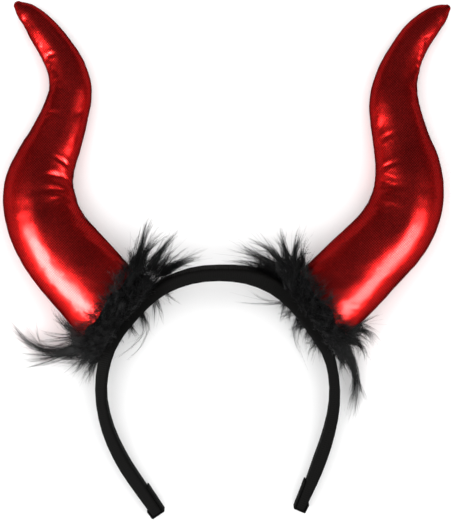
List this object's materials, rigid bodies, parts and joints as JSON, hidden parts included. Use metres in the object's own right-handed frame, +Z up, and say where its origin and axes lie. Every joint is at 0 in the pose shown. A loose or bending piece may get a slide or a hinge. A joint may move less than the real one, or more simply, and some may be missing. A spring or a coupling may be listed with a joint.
{
  "type": "devil horns headband",
  "caption": "Fancy-dress headband lying flat: a fabric-covered hoop with curved, stuffed foil-cloth horns that rise out of long-pile fur collars.",
  "frame": {"origin": "middle of the headband's bounding box, on the surface that it lies on", "axes": "+X to the right across the hoop, +Y from the hoop's open end to the horn tips, +Z up, away from the surface that it lies on"},
  "size_m": [0.2336, 0.2715, 0.0555],
  "materials": {
    "band_ribbon": "matt ribbed ribbon",
    "horn_foil": "metallic foil knit",
    "collar_fur": "long-pile fur"
  },
  "bodies": {
    "root": {"hoop": "band_ribbon", "end_tab_left": "band_ribbon", "end_tab_right": "band_ribbon", "horn_left": "horn_foil", "horn_right": "horn_foil", "fur_left": "collar_fur", "fur_right": "collar_fur"}
  },
  "joints": []
}
